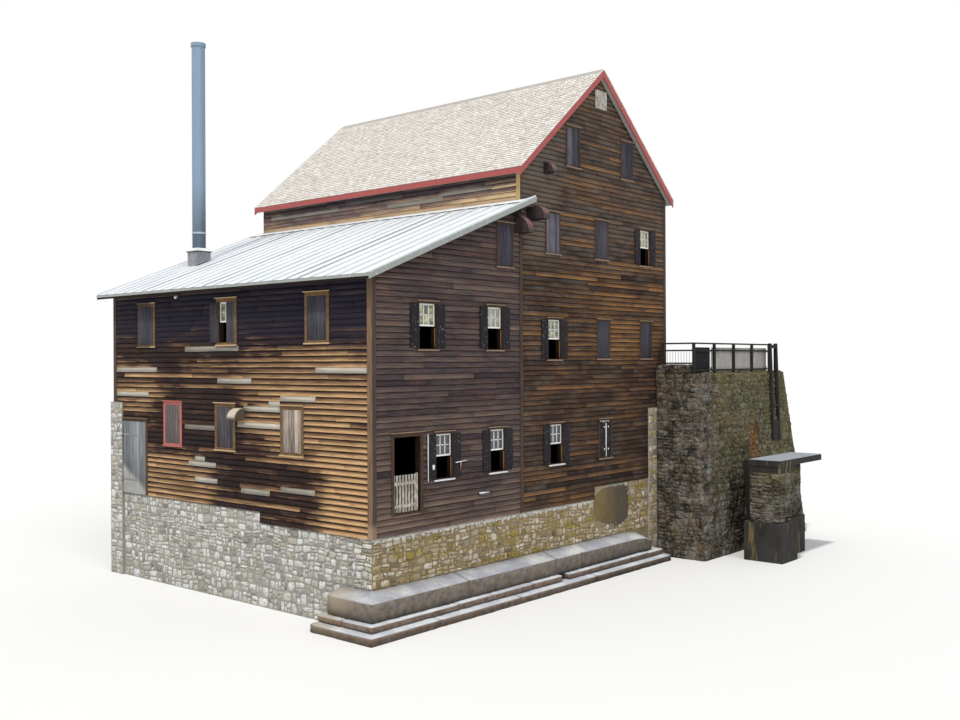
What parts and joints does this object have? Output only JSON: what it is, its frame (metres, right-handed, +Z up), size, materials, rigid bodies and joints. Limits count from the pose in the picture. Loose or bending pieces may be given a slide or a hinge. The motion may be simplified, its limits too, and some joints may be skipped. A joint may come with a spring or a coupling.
{
  "type": "watermill",
  "caption": "Old clapboard grist mill with a tall gabled block, a metal-roofed lean-to, rubble foundations and a sluice pier.",
  "frame": {"origin": "near corner of the walls' two shown faces, at the bottom of the lowest footing", "axes": "+X along the river front towards the abutment, +Y away from the river along the left wall, +Z up"},
  "size_m": [25.32, 18.3853, 19.44],
  "materials": {
    "rubble": "rough laid rubble",
    "rubble_dark": "mossy rubble",
    "concrete": "weathered concrete",
    "limestone_slab": "worn slabs",
    "dark_timber": "dark stained timber",
    "grey_boards": "bare grey boards",
    "floor_boards": "rough boards",
    "clapboard_left": "stained clapboard",
    "clapboard_front": "stained clapboard",
    "shingles": "weathered shingles",
    "red_trim": "red paint",
    "roof_metal": "bare galvanised sheet",
    "green_trim": "dull green paint",
    "corner_wood": "stained boards",
    "casing_wood": "stained boards",
    "shutter_wood": "bare weathered boards",
    "white_paint": "white paint",
    "white_paint_worn": "worn white paint",
    "glass": "window glass",
    "rusty_sheet": "rusted sheet",
    "stack_steel": "blue grey steel",
    "hinge_iron": "dark iron",
    "flashing": "dark flashing"
  },
  "bodies": {
    "building": {"abutment_wall": "rubble_dark", "attic_shutters": "white_paint", "back_stone_wall": "rubble", "back_wall": "clapboard_front", "board_fence": "grey_boards", "concrete_skirt": "concrete", "corner_boards": "corner_wood", "door_frames": "casing_wood", "dust_hoods": "rusty_sheet", "eave_fascias": "red_trim", "footing_slabs": "limestone_slab", "foundation_front": "rubble", "foundation_left": "rubble", "foundation_middle": "rubble", "front_wall_corner": "clapboard_front", "front_wall_doorway": "clapboard_front", "front_wall_lean": "clapboard_front", "front_wall_main": "clapboard_front", "front_wall_upper": "clapboard_front", "ground_floor": "floor_boards", "head_gate": "dark_timber", "hinge_pins": "hinge_iron", "lean_roof_deck": "floor_boards", "lean_roof_metal": "roof_metal", "lean_trim": "green_trim", "left_wall_near": "clapboard_left", "left_wall_over_door": "clapboard_left", "main_roof": "shingles", "middle_wall": "clapboard_left", "pier_concrete": "concrete", "pier_stone": "rubble_dark", "railing": "dark_timber", "rake_boards": "red_trim", "ridge_cap": "shingles", "right_stone_wall": "rubble", "right_wall": "clapboard_front", "sash_glass": "glass", "sashes": "white_paint", "sluice_boards": "dark_timber", "smoke_stack": "stack_steel", "stack_curb": "flashing", "upper_floors": "floor_boards", "window_casings": "casing_wood", "window_shutters": "shutter_wood"},
    "side_door": {"side_door": "grey_boards"},
    "picket_gate": {"picket_gate": "white_paint_worn"}
  },
  "joints": [
    {"name": "side_door_hinge", "type": "hinge", "parent": "building", "child": "side_door", "pos_m": [-0.057, 12.8, 2.93], "axis": [0, 0, -1], "range_deg": [0, 90]},
    {"name": "picket_gate_hinge", "type": "hinge", "parent": "building", "child": "picket_gate", "pos_m": [0.86, 0.091, 3.2], "axis": [0, 0, 1], "range_deg": [0, 90]}
  ]
}
